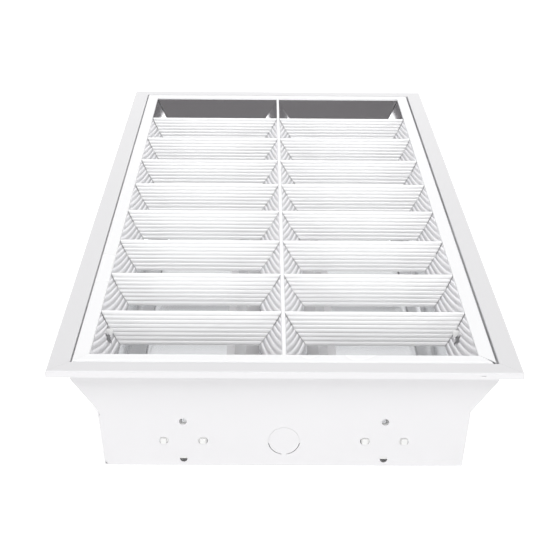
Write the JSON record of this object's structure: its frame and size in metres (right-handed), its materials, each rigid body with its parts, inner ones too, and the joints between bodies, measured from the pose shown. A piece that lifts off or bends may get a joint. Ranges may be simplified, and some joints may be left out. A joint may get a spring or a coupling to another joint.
{
  "type": "recessed troffer light",
  "caption": "Long recessed ceiling light for linear tubes: folded sheet housing, ribbed double parabolic louver that hinges open, and a gear ridge between the lamps.",
  "frame": {"origin": "centre of the flat back of the housing", "axes": "+X across the light, +Y along it from the near end to the far end, +Z out of the louver face"},
  "size_m": [0.295, 0.595, 0.076],
  "materials": {
    "housing_paint": "white powder coat with a faint orange peel",
    "louver_paint": "smooth white coat",
    "mirror_aluminium": "bright anodised mirror sheet",
    "ribbed_aluminium": "satin anodised sheet with rolled ribs",
    "lamp_reflector_aluminium": "bright anodised sheet",
    "catch_nylon": "natural white nylon",
    "rotor_plastic": "white moulded",
    "contact_brass": "plain",
    "lampholder_plastic": "white moulded",
    "spring_steel": "zinc plated spring steel",
    "rivet_steel": "zinc plated",
    "zinc_steel": "zinc plated",
    "ballast_paint": "pale grey coat",
    "terminal_grey": "grey moulded",
    "terminal_nylon": "natural nylon",
    "grommet_rubber": "black",
    "lead_sleeve": "white sleeve"
  },
  "bodies": {
    "housing": {"ballast_base": "zinc_steel", "ballast_case": "ballast_paint", "ballast_screws": "zinc_steel", "ballast_terminals": "terminal_grey", "cable_grommet": "grommet_rubber", "catch_clips": "spring_steel", "cover_brackets": "zinc_steel", "cover_screws": "zinc_steel", "earth_screw": "zinc_steel", "end_plate_far": "housing_paint", "end_plate_near": "housing_paint", "gear_cover": "housing_paint", "housing_body": "housing_paint", "housing_rivets": "rivet_steel", "lamp_leads": "lead_sleeve", "lamp_reflector_left": "lamp_reflector_aluminium", "lamp_reflector_right": "lamp_reflector_aluminium", "lampholder_contacts": "contact_brass", "lampholder_far_left": "lampholder_plastic", "lampholder_far_right": "lampholder_plastic", "lampholder_near_left": "lampholder_plastic", "lampholder_near_right": "lampholder_plastic", "mains_leads": "lead_sleeve", "mains_terminal_block": "terminal_nylon", "mains_terminal_screws": "contact_brass"},
    "louver": {"centre_blade": "mirror_aluminium", "cross_blade_left_1": "ribbed_aluminium", "cross_blade_left_2": "ribbed_aluminium", "cross_blade_left_3": "ribbed_aluminium", "cross_blade_left_4": "ribbed_aluminium", "cross_blade_left_5": "ribbed_aluminium", "cross_blade_left_6": "ribbed_aluminium", "cross_blade_left_7": "ribbed_aluminium", "cross_blade_left_8": "ribbed_aluminium", "cross_blade_right_1": "ribbed_aluminium", "cross_blade_right_2": "ribbed_aluminium", "cross_blade_right_3": "ribbed_aluminium", "cross_blade_right_4": "ribbed_aluminium", "cross_blade_right_5": "ribbed_aluminium", "cross_blade_right_6": "ribbed_aluminium", "cross_blade_right_7": "ribbed_aluminium", "cross_blade_right_8": "ribbed_aluminium", "end_reflector_far": "mirror_aluminium", "end_reflector_near": "mirror_aluminium", "louver_catch_far_left": "catch_nylon", "louver_catch_far_right": "catch_nylon", "louver_catch_near_left": "catch_nylon", "louver_catch_near_right": "catch_nylon", "louver_rail_far": "louver_paint", "louver_rail_left": "louver_paint", "louver_rail_near": "louver_paint", "louver_rail_right": "louver_paint", "side_reflector_left": "mirror_aluminium", "side_reflector_right": "mirror_aluminium"},
    "rotor_far_left": {"lampholder_rotor_far_left": "rotor_plastic"},
    "rotor_far_right": {"lampholder_rotor_far_right": "rotor_plastic"},
    "rotor_near_left": {"lampholder_rotor_near_left": "rotor_plastic"},
    "rotor_near_right": {"lampholder_rotor_near_right": "rotor_plastic"}
  },
  "joints": [
    {"name": "louver_hinge", "type": "hinge", "parent": "housing", "child": "louver", "pos_m": [-0.1275, 0, 0.0723], "axis": [0, -1, 0], "range_deg": [0, 90]},
    {"name": "rotor_turn_far_left", "type": "hinge", "parent": "housing", "child": "rotor_far_left", "pos_m": [-0.0646, 0.2789, 0.0187], "axis": [0, 1, 0], "range_deg": [0, 90]},
    {"name": "rotor_turn_far_right", "type": "hinge", "parent": "housing", "child": "rotor_far_right", "pos_m": [0.0646, 0.2789, 0.0187], "axis": [0, 1, 0], "range_deg": [0, 90]},
    {"name": "rotor_turn_near_left", "type": "hinge", "parent": "housing", "child": "rotor_near_left", "pos_m": [-0.0646, -0.2789, 0.0187], "axis": [0, 1, 0], "range_deg": [0, 90]},
    {"name": "rotor_turn_near_right", "type": "hinge", "parent": "housing", "child": "rotor_near_right", "pos_m": [0.0646, -0.2789, 0.0187], "axis": [0, 1, 0], "range_deg": [0, 90]}
  ]
}
